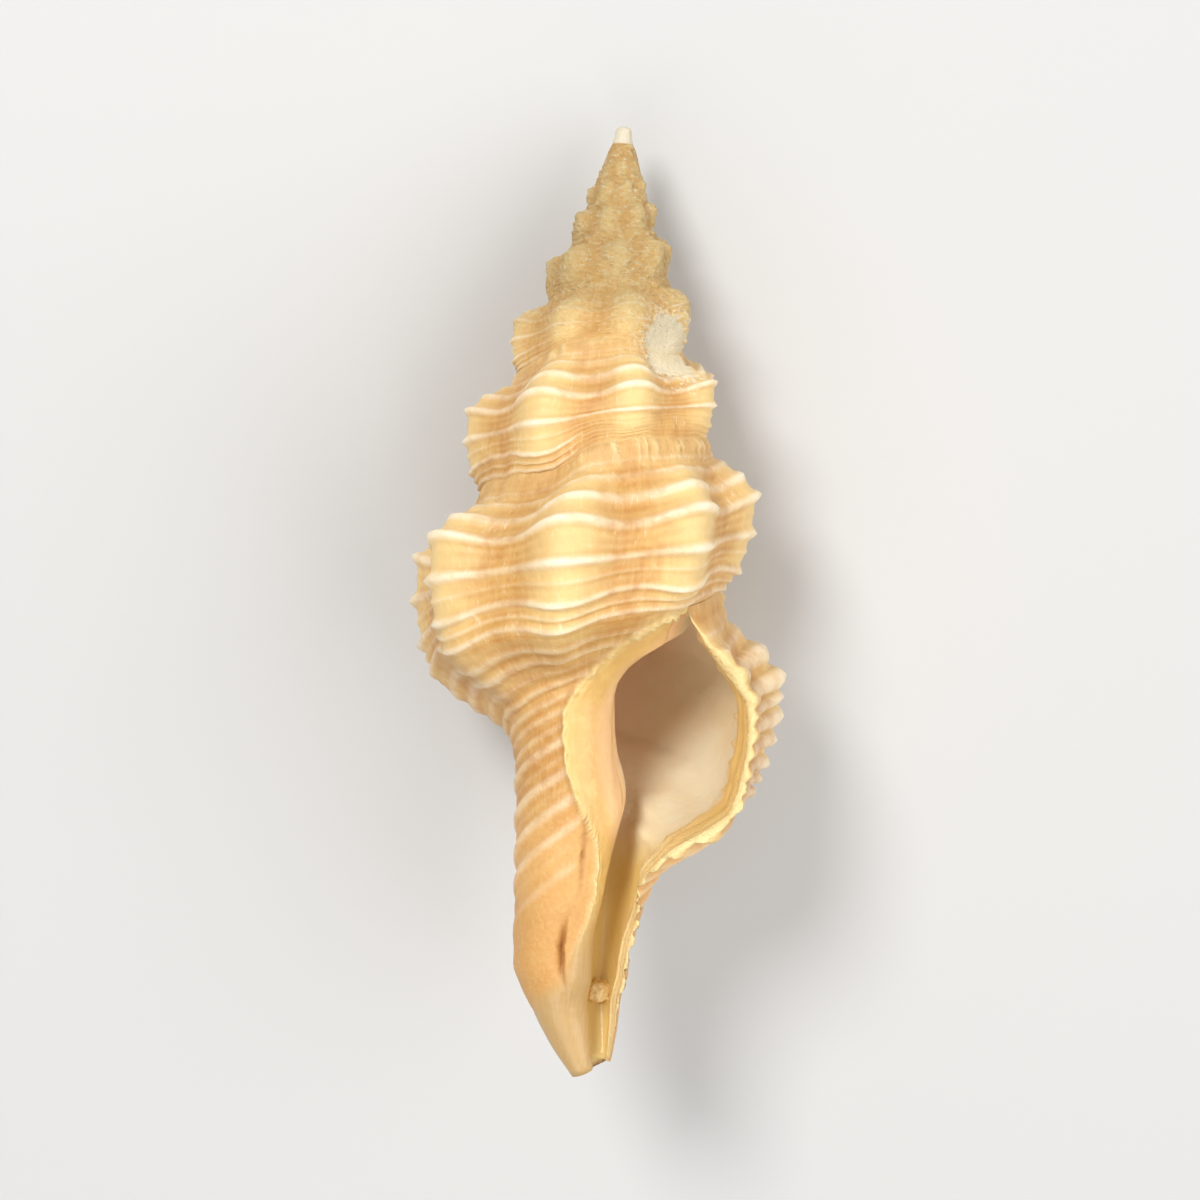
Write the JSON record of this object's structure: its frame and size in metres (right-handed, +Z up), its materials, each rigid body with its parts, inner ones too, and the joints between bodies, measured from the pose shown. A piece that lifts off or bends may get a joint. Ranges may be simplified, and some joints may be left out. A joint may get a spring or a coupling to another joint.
{
  "type": "hemipolygona beckyae shell",
  "caption": "Empty spindle-shaped sea snail shell: tall knobbed spire with spiral cords, oval mouth and a straight open canal.",
  "frame": {"origin": "centre of the bounding box on the floor the shell lies on", "axes": "+Y from the canal's tip towards the apex of the spire, +Z up through the mouth, +X towards the outer lip"},
  "size_m": [0.023, 0.0546, 0.0201],
  "materials": {
    "shell": "satin, with a glossier callus and mouth"
  },
  "bodies": {
    "root": {"shell": "shell"}
  },
  "joints": []
}
